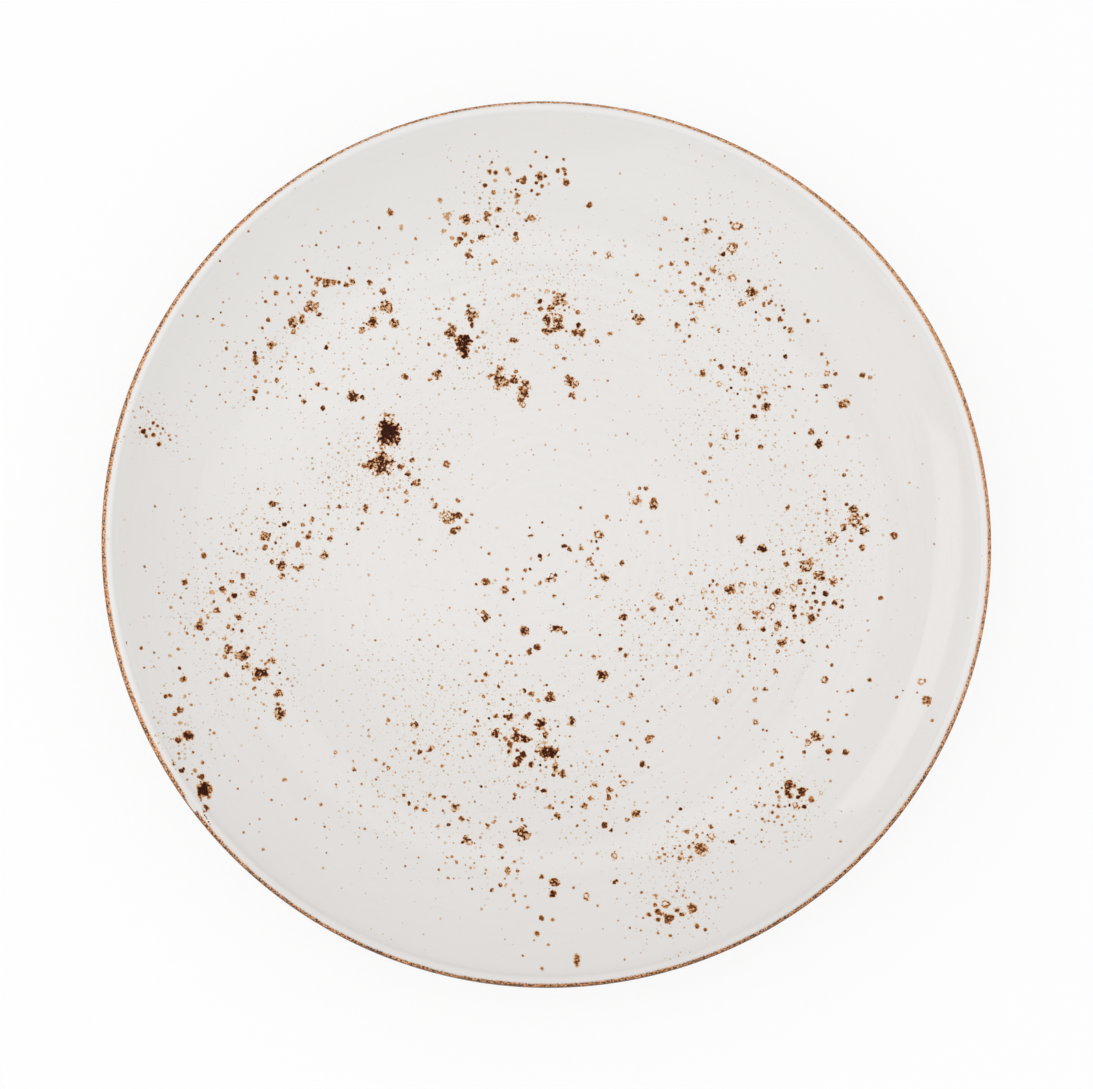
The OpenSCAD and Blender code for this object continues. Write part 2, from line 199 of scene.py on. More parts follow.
BROWN_SPOTS = (
    (-34, 852, 4), (-121, 861, 3), (-113, 838, 6), (-8, 806, 5), (-52, 818, 7), (-48, 825, 6),
    (-63, 819, 4), (-64, 783, 9), (-78, 794, 4), (-19, 788, 4), (-348, 748, 8), (-130, 743, 7),
    (-133, 731, 5), (-152, 728, 4), (-44, 729, 3), (-97, 708, 3), (-166, 681, 5), (-204, 674, 6),
    (-172, 651, 8), (-433, 593, 7), (-445, 605, 3), (-395, 588, 6), (-365, 570, 7), (-385, 530, 6),
    (-152, 525, 5), (40, 867, 4), (26, 841, 6), (41, 844, 6), (43, 834, 4), (44, 814, 8), (99, 767, 8),
    (358, 727, 4), (360, 705, 9), (415, 724, 4), (390, 690, 4), (409, 675, 4), (316, 686, 5),
    (332, 667, 4), (109, 656, 5), (281, 632, 5), (316, 633, 5), (348, 575, 8), (325, 541, 4),
    (334, 506, 8), (294, 495, 6), (208, 505, 11), (41, 527, 3), (51, 533, 3), (-411, 479, 8),
    (-206, 487, 7), (-216, 495, 4), (-282, 465, 3), (-263, 450, 4), (-142, 478, 4), (-315, 375, 8),
    (-454, 378, 6), (-106, 390, 10), (-126, 379, 7), (-90, 363, 10), (-68, 388, 5), (-54, 329, 10),
    (-408, 176, 6), (-324, 173, 8), (-290, 139, 8), (-313, 116, 6), (-354, 105, 4), (-267, 173, 5),
    (-265, 251, 3), (-462, 84, 5), (-405, 80, 8), (-412, 46, 4), (-421, 33, 5), (-482, 13, 7),
    (-255, 100, 5), (-250, 86, 7), (-178, 51, 6), (-208, 29, 7), (-34, 20, 6), (-36, 37, 3),
    (63, 479, 8), (79, 477, 9), (46, 479, 4), (114, 456, 6), (40, 418, 6), (48, 377, 7), (44, 361, 4),
    (59, 336, 9), (20, 342, 3), (322, 469, 6), (388, 485, 6), (351, 385, 8), (423, 398, 5),
    (467, 310, 5), (429, 257, 6), (481, 219, 6), (336, 180, 4), (354, 162, 6), (242, 101, 5),
    (79, 81, 4), (136, 60, 5), (124, 21, 6), (103, 3, 5), (38, 19, 3), (77, -3, 4), (-653, 418, 7),
    (-649, 408, 5), (-525, 392, 6), (-602, 369, 6), (-650, 342, 7), (-551, 334, 3), (-543, 321, 5),
    (-716, 441, 5), (-896, 243, 4), (-880, 274, 5), (-888, 260, 4), (-871, 267, 4), (-596, 78, 4),
    (-577, 49, 3), (-597, 40, 3), (-694, 31, 4), (-525, 56, 6), (-586, 22, 3), (-593, 13, 4),
    (-632, -4, 5), (535, 488, 4), (548, 480, 7), (618, 428, 4), (649, 382, 5), (625, 355, 7),
    (596, 252, 7), (592, 154, 5), (668, 155, 4), (542, 81, 6), (629, 74, 4), (674, 89, 4),
    (628, 26, 3), (-672, -13, 5), (-646, -9, 3), (-631, -7, 6), (-588, -21, 5), (-767, -27, 6),
    (-613, -41, 6), (-590, -75, 8), (-563, -54, 6), (-555, -60, 5), (-679, -73, 7), (-705, -85, 5),
    (-724, -105, 8), (-658, -113, 8), (-738, -148, 8), (-744, -130, 4), (-689, -166, 8),
    (-770, -151, 3), (-712, -239, 11), (-669, -236, 5), (-615, -263, 8), (-654, -325, 6),
    (-907, -235, 4), (-842, -342, 6), (-820, -374, 8), (-831, -385, 5), (-602, -360, 5),
    (-769, -494, 5), (-835, -496, 5), (-127, -22, 4), (-12, -35, 4), (-46, -60, 5), (-135, -87, 8),
    (-139, -155, 6), (-38, -243, 7), (-109, -250, 4), (-80, -254, 4), (-133, -293, 7), (-107, -319, 6),
    (-34, -338, 7), (-127, -360, 5), (-182, -379, 4), (-42, -388, 8), (-160, -427, 6), (-69, -421, 8),
    (-80, -452, 7), (-65, -466, 5), (-67, -496, 7), (-259, -463, 8), (-294, -448, 5), (-152, -451, 4),
    (-219, -446, 3), (54, -13, 7), (79, -9, 6), (106, -22, 3), (172, -43, 6), (112, -78, 4),
    (18, -117, 5), (40, -136, 3), (154, -142, 3), (300, -135, 6), (244, -179, 3), (42, -200, 5),
    (104, -190, 2), (121, -206, 3), (276, -229, 4), (180, -251, 6), (107, -255, 6), (218, -305, 3),
    (2, -318, 3), (117, -355, 3), (160, -432, 4), (190, -442, 4), (204, -461, 4), (137, -467, 5),
    (230, -504, 3), (384, -91, 5), (373, -108, 4), (492, -110, 5), (360, -146, 4), (467, -167, 5),
    (484, -165, 5), (436, -188, 8), (456, -252, 5), (468, -259, 3), (326, -293, 5), (492, -328, 6),
    (487, -420, 3), (495, -421, 3), (472, -51, 2), (493, -97, 4), (534, -22, 6), (568, -14, 5),
    (577, -24, 3), (540, -46, 6), (618, -55, 4), (663, -79, 4), (577, -115, 4), (586, -131, 5),
    (622, -134, 6), (613, -150, 4), (610, -161, 4), (590, -178, 6), (520, -179, 9), (530, -222, 9),
    (539, -239, 4), (630, -232, 5), (641, -273, 4), (725, -306, 6), (687, -330, 4), (786, -346, 4),
    (866, -398, 4), (645, -435, 4), (579, -470, 4), (635, -468, 7), (529, -482, 4), (709, -9, 6),
    (751, -123, 5), (-430, -508, 5), (-352, -506, 5), (-380, -531, 3), (-319, -567, 5),
    (-292, -595, 5), (-272, -601, 6), (-250, -574, 4), (-340, -609, 4), (-187, -621, 7),
    (-117, -628, 5), (-53, -622, 4), (-215, -659, 4), (-104, -682, 8), (-315, -727, 3), (-63, -738, 4),
    (-11, -752, 6), (-90, -769, 5), (-165, -778, 3), (-121, -781, 5), (-73, -792, 5), (-10, -844, 6),
    (-20, -880, 6), (-52, -929, 3), (-9, -958, 5), (5, -904, 4), (-19, -551, 4), (-70, -565, 4),
    (17, -521, 4), (37, -519, 8), (110, -544, 6), (142, -554, 7), (140, -571, 6), (58, -571, 4),
    (101, -575, 6), (37, -582, 4), (88, -591, 7), (9, -593, 5), (16, -596, 3), (131, -633, 7),
    (136, -598, 3), (182, -623, 5), (214, -787, 4), (245, -815, 5), (257, -834, 5), (263, -833, 4),
    (252, -848, 6), (270, -853, 5), (339, -863, 6), (356, -870, 5), (293, -783, 3), (231, -836, 5),
    (251, -879, 4), (321, -684, 5), (339, -661, 6), (330, -674, 4), (315, -649, 6), (371, -638, 6),
    (289, -687, 3), (262, -687, 3), (300, -709, 5), (480, -552, 3), (485, -620, 4), (483, -672, 3),
    (273, -626, 3), (-778, -525, 4), (-755, -553, 8), (-775, -580, 3), (-691, -552, 3), (-731, 638, 3),
    (-515, 674, 3), (-535, 616, 4), (-525, 603, 4), (-581, 600, 4), (-509, 597, 6), (-514, 587, 6),
    (-605, 567, 6), (-628, 546, 4), (-622, 505, 5), (-508, 517, 6), (-729, 522, 3), (-746, 507, 3),
    (505, 547, 4), (525, 506, 6), (580, 518, 4), (587, 503, 5), (518, -560, 4), (595, -577, 7),
    (566, -594, 5), (508, -606, 4), (529, -634, 3),
)
CARAMEL_SPOTS = (
    (-88, 845, 6), (-82, 835, 4), (-117, 794, 5), (-236, 775, 6), (-32, 735, 8), (-68, 688, 6),
    (-129, 694, 5), (-182, 699, 7), (-170, 662, 5), (-178, 631, 5), (-116, 635, 6), (-291, 688, 4),
    (-475, 590, 7), (-247, 530, 4), (-46, 521, 5), (267, 734, 5), (69, 662, 3), (300, 613, 4),
    (376, 620, 8), (360, 597, 7), (332, 585, 6), (471, 569, 7), (490, 576, 6), (438, 541, 8),
    (346, 541, 9), (376, 551, 4), (489, 539, 6), (499, 507, 6), (303, 568, 6), (205, 607, 6),
    (194, 525, 4), (71, 523, 5), (18, 567, 4), (-394, 460, 4), (-154, 466, 4), (-138, 443, 4),
    (-492, 349, 4), (-259, 370, 5), (-110, 351, 8), (-122, 408, 4), (-360, 292, 5), (-410, 283, 5),
    (-314, 96, 6), (-223, 179, 7), (-488, 86, 5), (-368, 70, 4), (-334, 66, 4), (-166, 66, 4),
    (-198, 98, 5), (-110, 37, 4), (143, 473, 6), (138, 368, 3), (293, 493, 6), (311, 457, 4),
    (374, 489, 4), (313, 408, 4), (456, 405, 4), (406, 347, 4), (370, 225, 6), (428, 216, 6),
    (368, 193, 4), (367, 141, 5), (381, 96, 5), (202, 96, 12), (186, 114, 5), (226, 27, 6),
    (214, 50, 4), (326, 225, 3), (183, 249, 3), (-567, 479, 6), (-586, 488, 4), (-592, 411, 5),
    (-561, 422, 3), (-652, 376, 4), (-675, 348, 4), (-731, 337, 3), (-718, 320, 3), (-602, 332, 3),
    (-526, 349, 3), (-714, 454, 3), (-720, 395, 3), (-671, 453, 3), (-657, 459, 3), (-628, 464, 3),
    (-845, 244, 3), (-842, 235, 3), (-909, 308, 3), (-891, 298, 3), (-707, 41, 5), (-631, 56, 3),
    (-546, 43, 5), (-529, 26, 4), (-545, 26, 4), (-557, -2, 6), (-818, 77, 3), (631, 409, 6),
    (726, 376, 6), (576, 349, 3), (549, 387, 4), (583, 383, 3), (678, 241, 4), (514, 228, 3),
    (685, 8, 5), (596, 28, 3), (601, 43, 3), (-613, -11, 3), (-536, -46, 3), (-732, -79, 4),
    (-740, -67, 3), (-709, -126, 6), (-759, -165, 6), (-625, -131, 3), (-773, -172, 5),
    (-711, -186, 5), (-642, -191, 4), (-631, -186, 4), (-636, -201, 3), (-805, -201, 4),
    (-789, -207, 3), (-759, -215, 4), (-721, -215, 6), (-721, -253, 7), (-629, -271, 5),
    (-652, -305, 5), (-822, -237, 5), (-942, -224, 4), (-900, -279, 3), (-867, -111, 3),
    (-795, -363, 4), (-840, -441, 3), (-751, -313, 4), (-744, -427, 4), (-645, -394, 3),
    (-649, -415, 4), (-536, -399, 3), (-824, -473, 4), (-246, -16, 3), (-87, -58, 4), (-85, -80, 4),
    (-52, -79, 3), (-16, -89, 6), (-157, -240, 4), (-88, -267, 4), (-76, -268, 4), (-173, -269, 4),
    (-142, -309, 4), (-139, -344, 5), (-18, -352, 5), (-6, -397, 6), (-171, -429, 3), (-93, -440, 6),
    (-353, -398, 4), (-358, -406, 3), (-273, -483, 4), (-471, -470, 5), (-337, -462, 4),
    (-344, -480, 4), (-381, -488, 5), (-363, -495, 4), (-195, -434, 5), (-218, -416, 4),
    (-186, -482, 3), (-220, -474, 4), (-241, -230, 4), (-216, -145, 3), (-353, -170, 3),
    (-382, -217, 3), (116, -11, 4), (68, -40, 3), (45, -63, 2), (99, -124, 2), (114, -119, 4),
    (216, -128, 3), (205, -149, 4), (309, -117, 3), (267, -168, 3), (217, -165, 4), (170, -205, 3),
    (121, -254, 3), (79, -251, 3), (292, -278, 4), (270, -270, 3), (86, -304, 2), (190, -344, 7),
    (139, -367, 3), (295, -338, 2), (266, -374, 3), (172, -406, 5), (54, -434, 3), (233, -440, 9),
    (323, -67, 5), (352, -123, 4), (415, -147, 5), (370, -155, 4), (343, -150, 3), (474, -157, 9),
    (376, -165, 4), (452, -222, 4), (492, -272, 3), (469, -352, 7), (279, -4, 3), (285, -34, 3),
    (468, -20, 3), (429, -55, 3), (440, -108, 4), (411, -283, 2), (369, -261, 3), (388, -437, 3),
    (262, -468, 2), (617, -14, 5), (576, -159, 5), (516, -193, 6), (538, -213, 4), (513, -288, 6),
    (676, -333, 4), (832, -335, 3), (674, -386, 4), (632, -398, 4), (621, -453, 4), (551, -425, 3),
    (563, -436, 3), (633, -486, 3), (508, -499, 5), (-338, -515, 3), (-233, -501, 4), (-471, -543, 3),
    (-413, -542, 3), (-340, -576, 4), (-261, -568, 5), (-231, -602, 3), (-175, -624, 4),
    (-242, -637, 4), (-301, -640, 3), (-143, -653, 4), (-145, -705, 3), (-222, -708, 4),
    (-211, -705, 4), (-201, -718, 4), (-181, -724, 3), (-285, -708, 3), (-240, -735, 3),
    (-135, -735, 4), (-70, -718, 4), (-220, -755, 4), (-206, -755, 3), (-46, -795, 3), (-41, -820, 5),
    (-69, -806, 3), (-26, -895, 3), (-21, -532, 4), (-63, -546, 4), (-52, -549, 4), (-496, -638, 3),
    (-405, -643, 4), (-380, -655, 4), (-415, -591, 3), (-418, -641, 2), (-420, -661, 3), (86, -624, 5),
    (131, -590, 3), (67, -708, 3), (62, -775, 4), (115, -816, 4), (15, -848, 5), (177, -766, 3),
    (246, -795, 7), (307, -794, 4), (314, -797, 3), (218, -843, 3), (279, -884, 4), (188, -866, 3),
    (213, -872, 3), (162, -850, 2), (410, -672, 4), (267, -700, 5), (254, -708, 4), (258, -721, 3),
    (267, -715, 3), (284, -705, 3), (305, -699, 4), (320, -715, 3), (300, -681, 3), (298, -776, 2),
    (426, -552, 4), (482, -506, 3), (413, -525, 3), (371, -573, 4), (414, -612, 4), (430, -603, 3),
    (478, -583, 3), (472, -592, 5), (490, -590, 5), (499, -625, 3), (460, -588, 2), (484, -645, 3),
    (298, -930, 3), (240, -694, 2), (-787, -512, 5), (-793, -519, 3), (-634, -689, 4), (-615, -578, 3),
    (-560, -621, 3), (-642, -621, 3), (-664, -632, 2), (-678, -651, 3), (-586, -532, 5),
    (-505, -588, 4), (-540, -575, 3), (-804, -532, 3), (-505, 703, 4), (-605, 601, 6), (-629, 601, 3),
    (-551, 583, 4), (-573, 579, 3), (-577, 565, 4), (-569, 546, 4), (-606, 540, 3), (-724, 545, 3),
    (-781, 514, 3), (-814, 515, 3), (-542, 641, 3), (-667, 705, 3), (526, 635, 3), (529, 537, 4),
    (611, 503, 3), (523, -571, 4), (510, -590, 4), (519, -616, 5), (555, -614, 4), (573, -581, 3),
    (661, -671, 3),
)
PALE_SPOTS = (
    (-67, 769, 5), (-114, 820, 5), (-325, 715, 7), (-63, 744, 6), (-211, 689, 5), (-229, 706, 6),
    (-312, 635, 5), (-220, 739, 10), (-239, 508, 6), (-74, 561, 5), (-61, 561, 5), (-209, 552, 5),
    (6, 812, 4), (448, 677, 5), (256, 665, 4), (288, 638, 4), (258, 625, 6), (332, 523, 5),
    (270, 569, 5), (188, 569, 5), (2, 570, 6), (-341, 441, 4), (-157, 433, 4), (-226, 424, 4),
    (-369, 120, 6), (-478, 31, 5), (87, 326, 5), (324, 392, 5), (397, 215, 6), (361, 111, 4),
    (-628, 368, 4), (-726, 494, 4), (-581, 428, 4), (-852, 216, 2), (-810, 62, 3), (547, 459, 4),
    (606, 321, 5), (535, 350, 4), (554, 288, 4), (575, 184, 4), (536, 174, 4), (815, 138, 5),
    (611, 69, 4), (-773, -12, 4), (-560, -83, 4), (-801, -69, 4), (-750, -110, 6), (-819, -177, 5),
    (-844, -203, 4), (-745, -200, 4), (-843, -253, 5), (-879, -277, 3), (-832, -114, 4),
    (-809, -344, 5), (-819, -404, 6), (-874, -433, 4), (-632, -362, 3), (-668, -348, 3),
    (-537, -207, 3), (-750, -464, 3), (-443, -23, 4), (-33, -33, 5), (-48, -109, 4), (-149, -411, 5),
    (-233, -325, 5), (-341, -348, 3),
)
DARK_RINGS = (
    (-629, 18, 10), (714, 31, 10), (641, 12, 12), (-295, -409, 7), (15, -75, 9),
)
BROWN_RINGS = (
    (402, 242, 8), (117, 21, 9), (469, -402, 6), (508, -142, 7), (624, -306, 7), (587, -448, 8),
    (268, -812, 9), (-521, 567, 7),
)
CARAMEL_RINGS = (
    (141, 650, 9), (416, 599, 9), (-52, 316, 7), (23, 444, 6), (390, 360, 7), (489, 346, 9),
    (630, 384, 7), (96, -40, 10), (254, -116, 8), (440, -93, 8), (351, -109, 8), (469, -91, 5),
    (411, -333, 6), (468, -327, 7), (555, -97, 9), (521, -243, 6), (842, -310, 8), (174, -541, 7),
    (160, -570, 5), (153, -702, 9), (371, -660, 8), (617, -562, 5), (559, -590, 9),
)
# Each table of round spots with their tone, from clear glaze at 0 to black at 1, and how hollow they are
SPOT_KINDS = (
    (BLACK_SPOTS, 0.95, 0), (DARK_SPOTS, 0.86, 0), (BROWN_SPOTS, 0.7, 0), (CARAMEL_SPOTS, 0.48, 0),
    (PALE_SPOTS, 0.26, 0), (DARK_RINGS, 0.85, 0.9), (BROWN_RINGS, 0.7, 0.9), (CARAMEL_RINGS, 0.5, 0.9),
)

# Patches of fine dust: right, away and reach in thousandths of the plate's radius, and weight
DUST_PATCHES = (
    (-120, 770, 90, 0.5), (-60, 600, 130, 0.35), (-400, 550, 130, 0.4), (40, 540, 120, 0.4),
    (400, 640, 130, 0.5), (-330, 180, 120, 0.6), (-440, 160, 70, 1.3), (-180, 440, 90, 0.6),
    (-620, 400, 110, 0.5), (-890, 260, 60, 0.8), (-620, 30, 130, 0.5), (430, 400, 140, 0.4),
    (430, 230, 110, 0.4), (640, 60, 110, 0.6), (570, -110, 110, 0.9), (440, -140, 100, 0.8),
    (-740, -160, 120, 0.7), (-640, -300, 90, 0.6), (-830, -440, 80, 0.7), (-270, -360, 170, 0.6),
    (-60, -440, 110, 0.7), (540, -590, 80, 0.9), (310, -690, 80, 0.8), (280, -820, 80, 0.7),
    (90, -570, 110, 0.4), (-130, -680, 110, 0.3), (-340, -560, 110, 0.4), (240, -200, 150, 0.4),
)
# Dust between the patches, the share of it that the wall lacks, and how strongly a patch adds to it
DUST_BASE = 0.04
DUST_WALL_LOSS = 0.75
DUST_PATCH_WEIGHT = 0.8

draw = random.Random(7)


# The plate's section

def heading(start, end):
    return math.degrees(math.atan2(end[1] - start[1], end[0] - start[0]))


def arc(centre, radius, start, end, steps):
    turns = (math.radians(start + (end - start) * k / steps) for k in range(steps + 1))
    return [(centre[0] + radius * math.cos(a), centre[1] + radius * math.sin(a)) for a in turns]


def arc_to_lip(r, z, side):
    """Radius of the arc that leaves level z at r and runs up to the lip, less what the lip stands proud."""
    across = LIP_C[0] - r
    up = LIP_C[1] - z
    seat = LIP_R - LIP_PROUD
    return (across ** 2 + up ** 2 - seat ** 2) / (2 * (up + side * seat))


def meeting(centre, radius, lip_radius):
    """Angles, round the arc's centre and round the lip's, from their common line to where the two cross."""
    apart = math.dist(centre, LIP_C)
    at_lip = math.acos((apart ** 2 + lip_radius ** 2 - radius ** 2) / (2 * apart * lip_radius))
    at_centre = math.asin(lip_radius * math.sin(at_lip) / radius)
    return math.degrees(at_centre), math.degrees(at_lip)


LIP_C = (PLATE_R - LIP_R, PLATE_H - LIP_R)
IN_R = arc_to_lip(WELL_R, WELL_Z, 1)
IN_C = (WELL_R, WELL_Z + IN_R)
OUT_R = arc_to_lip(TURN_R, FOOT_H, -1)
OUT_C = (TURN_R, FOOT_H + OUT_R)
IN_TURN = heading(IN_C, LIP_C)
OUT_TURN = heading(OUT_C, LIP_C)
# Radius where the wall's inner arc meets the lip
WALL_END_R = IN_C[0] + IN_R * math.cos(math.radians(IN_TURN - meeting(IN_C, IN_R, LIP_R)[0]))


def inside_line(inset, wall_steps, lip_steps, lip_end):
    """The wall and the lip as seen from inside the plate, from the well's edge outwards."""
    at_wall, at_lip = meeting(IN_C, IN_R + inset, LIP_R - inset)
    wall = arc(IN_C, IN_R + inset, -90, IN_TURN - at_wall - CREASE_WALL, wall_steps)
    lip = arc(LIP_C, LIP_R - inset, IN_TURN + 180 + at_lip - CREASE_LIP, lip_end, lip_steps)
    return wall + lip


def outside_line(inset, lip_start, lip_steps, wall_steps):
    """The lip and the wall as seen from outside the plate, down to where the underside is level."""
    at_wall, at_lip = meeting(OUT_C, OUT_R - inset, LIP_R - inset)
    lip_low = OUT_TURN - (180 - at_lip)
    lip = arc(LIP_C, LIP_R - inset, lip_start, lip_low + CREASE_LIP, lip_steps)
    wall = arc(OUT_C, OUT_R - inset, OUT_TURN - at_wall - CREASE_WALL, -90, wall_steps)
    return lip + wall


def foot_line(side, inset, steps):
    """From the level underside by the fillet to the foot ring's wall: side is 1 outside and -1 inside."""
    wall_r = FOOT_R if side > 0 else FOOT_IN_R
    centre = (wall_r + side * FOOT_FILLET, FOOT_H - FOOT_FILLET)
    return arc(centre, FOOT_FILLET + inset, 90, 180 if side > 0 else 0, steps)


def coat_edge(wall_r, side):
    """The rounded edge where a coat stops on the foot ring's wall, from its face to the clay."""
    round_r = COAT_T * 0.6
    centre = (wall_r - side * round_r, BARE_H + round_r)
    ends = (0, -90) if side > 0 else (180, 270)
    return arc(centre, round_r, *ends, 4) + [(wall_r - side * COAT_T, BARE_H)]


def lathe(line, closed=False):
    """The surface that the line makes when it turns once round the plate's axis."""
    bm = bmesh.new()
    verts = [bm.verts.new((r, 0, z)) for r, z in line]
    edges = [bm.edges.new(pair) for pair in zip(verts, verts[1:])]
    if closed:
        edges.append(bm.edges.new((verts[-1], verts[0])))
    bmesh.ops.spin(bm, geom=verts + edges, cent=(0, 0, 0), axis=UP, angle=TURN,
                   steps=SPIN_STEPS, use_merge=True, use_duplicate=False)
    bmesh.ops.remove_doubles(bm, verts=bm.verts, dist=WELD)
    bmesh.ops.recalc_face_normals(bm, faces=bm.faces)
    return bm


def ease(low, high, value):
    share = min(max((value - low) / (high - low), 0), 1)
    return share * share * (3 - 2 * share)


def throwing_rings(x, y):
    """Height of the faint spiral that the potter's fingers leave, and of the slow waves under it."""
    r = math.hypot(x, y) / MM
    turned = math.atan2(y, x)
    uneven = 0.45 + 0.3 * math.sin(r / 17 + 2 * turned) + 0.25 * math.sin(r / 9.5 - turned)
    spiral = math.sin(TURN * r / RING_PITCH + turned + 0.5 * math.sin(2 * turned + r / 23))
    spiral *= RING_DEPTH * uneven * (1 - 0.6 * ease(80, 105, r))
    slow = SLOW_DEPTH * math.sin(r / 14 + 1.3 * math.sin(turned + 0.6)) * ease(12, 40, r)
    dip = TURN_DEPTH * math.exp(-((r - WELL_R / MM) / 1.6) ** 2)
    return (spiral + slow - dip) * ease(1, 7, r) * (1 - ease(124, 134, r))


def inside_height(r):
    """Height of the plate's inner surface at a radius, without the throwing rings."""
    if r <= WELL_R:
        return WELL_Z
    if r < WALL_END_R:
        return IN_C[1] - math.sqrt(IN_R ** 2 - (r - WELL_R) ** 2)
    return LIP_C[1] + math.sqrt(max(LIP_R ** 2 - (r - LIP_C[0]) ** 2, 0))


def on_inside(x, y, lift):
    """The point of the inner surface over x and y, raised along the surface's normal."""
    r = math.hypot(x, y)
    near = 0.1 * MM
    slope = (inside_height(r + near) - inside_height(max(r - near, 0))) / (2 * near)
    across = Vector((x, y, 0)) / r if r else Vector()
    normal = (UP - slope * across).normalized()
    return Vector((x, y, inside_height(r) + throwing_rings(x, y))) + lift * normal


# The camera's place

camera_back = CAMERA_SIDE * math.sin(CAMERA_LEAN) + UP * math.cos(CAMERA_LEAN)
camera_turn = UP.rotation_difference(camera_back)
px = 2 * PLATE_R / PLATE_PX
reach_px = CAMERA_REACH / px
camera_at = LIP_C[1] * UP + CAMERA_REACH * camera_back - camera_turn @ (MIDDLE_PX * px)


def seen_at(x, y):
    """Where the plate's inside shows a spot that is read at x and y, in thousandths of the outline."""
    spot_px = OUTLINE_PX + Vector((x * OUTLINE_HALF_PX.x, y * OUTLINE_HALF_PX.y, 0)) * MM
    sight = camera_turn @ (spot_px - reach_px * UP)
    height = WELL_Z
    for _ in range(SIGHT_ROUNDS):
        point = camera_at + sight * ((height - camera_at.z) / sight.z)
        height = inside_height(point.xy.length)
    return point


# Pieces

def put(name, data):
    piece = bpy.data.objects.new(name, data)
    bpy.context.collection.objects.link(piece)
    return piece


def mesh_of(bm, name, material):
    mesh = bpy.data.meshes.new(name)
    bm.to_mesh(mesh)
    bm.free()
    mesh.materials.append(material)
    return mesh


def finish_piece(bm, name, material, slot, *nodes):
    """Makes the mesh a smooth piece that stands for its CAD nodes."""
    for face in bm.faces:
        face.smooth = True
    piece = put(name, mesh_of(bm, name, material))
    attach(piece, "root")
    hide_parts(*nodes)


def clay_body():
    """The fired clay under its coats, with the foot ring's bare ground face softened at both bevels."""
    soft = GROUND_BEVEL * 0.3
    wall_out = FOOT_R - COAT_T
    wall_in = FOOT_IN_R + COAT_T
    ground_out = wall_out - GROUND_BEVEL - soft
    ground_in = wall_in + GROUND_BEVEL + soft
    ground_steps = 6
    line = [(0, WELL_Z - COAT_T)]
    line += inside_line(COAT_T, 24, 8, 0)
    line += outside_line(COAT_T, -12, 6, 24)
    line += foot_line(1, COAT_T, 6)
    line += [(wall_out, GROUND_BEVEL + soft), (wall_out - soft, GROUND_BEVEL - soft)]
    line += [(ground_out + 2 * soft, soft)]
    line += [(ground_out + (ground_in - ground_out) * k / ground_steps, 0) for k in range(ground_steps + 1)]
    line += [(ground_in - 2 * soft, soft)]
    line += [(wall_in + soft, GROUND_BEVEL - soft), (wall_in, GROUND_BEVEL + soft)]
    line += foot_line(-1, COAT_T, 6)[::-1]
    line += [(0, FOOT_H + COAT_T)]
    return lathe(line)


def top_coat():
    """The white coat inside, with the throwing rings in its face and the dust's density on its corners."""
    rings = round(WELL_R / WELL_STEP)
    line = [(WELL_R * k / rings, WELL_Z) for k in range(rings)]
    line += inside_line(0, 52, 14, BAND_TOP)
    line += inside_line(COAT_T, 10, 4, BAND_TOP)[::-1]
    line += [(0, WELL_Z - COAT_T)]
    bm = lathe(line)
    dust = bm.verts.layers.float.new("dust")
    for v in bm.verts:
        if v.co.z > inside_height(v.co.xy.length) - COAT_T / 2:
            v.co.z += throwing_rings(v.co.x, v.co.y)
            share = v.co.xy / (PLATE_R * MM)
            found = sum(weight * math.exp(-((share.x - x) ** 2 + (share.y - y) ** 2) / reach ** 2)
                        for x, y, reach, weight in DUST_PATCHES)
            base = DUST_BASE * (1 - DUST_WALL_LOSS * ease(700, 880, share.length))
            v[dust] = base + DUST_PATCH_WEIGHT * found
    return bm


def rim_band():
    line = arc(LIP_C, LIP_R, BAND_TOP, BAND_LOW, 20)
    line += arc(LIP_C, LIP_R - COAT_T, BAND_LOW, BAND_TOP, 6)
    return lathe(line, closed=True)


def underside_coat():
    line = outside_line(0, BAND_LOW, 8, 56) + foot_line(1, 0, 8) + coat_edge(FOOT_R, 1)
    line += foot_line(1, COAT_T, 4)[::-1] + outside_line(COAT_T, BAND_LOW, 2, 16)[::-1]
    return lathe(line, closed=True)


def foot_well_coat():
    steps = 28
    land = FOOT_IN_R - FOOT_FILLET
    line = [(land * k / steps, FOOT_H) for k in range(steps)]
    line += foot_line(-1, 0, 8) + coat_edge(FOOT_IN_R, -1)
    line += foot_line(-1, COAT_T, 4)[::-1] + [(0, FOOT_H + COAT_T)]
    return lathe(line)


def spot_lens(x, y, wide, high, tone, hollow):
    """One spot's lens, whose corners keep how far out they are and the spot's tone, hollow and size."""
    bm = bmesh.new()
    layer = bm.verts.layers.float_color.new("spot")
    middle = seen_at(x, y)
    turned = draw.uniform(0, TURN)
    spread = min(wide / LARGEST_SPOT, 1)
    lift = SPOT_LIFT * min(1, 0.4 + wide / 12)
    reach = SPOT_ROOM * PLATE_R * MM
    around, up = next(steps for least, *steps in LENS_STEPS if wide > least)
    bmesh.ops.create_uvsphere(bm, u_segments=around, v_segments=up, radius=1)
    for v in bm.verts:
        rho = min(v.co.xy.length, 1)
        a = math.atan2(v.co.y, v.co.x) + turned
        across = rho * reach * wide * math.cos(a)
        away = rho * reach * high * math.sin(a)
        v[layer] = (rho, tone, hollow, spread)
        v.co = on_inside(middle.x + across, middle.y + away, v.co.z * lift - SPOT_SINK)
    return bm


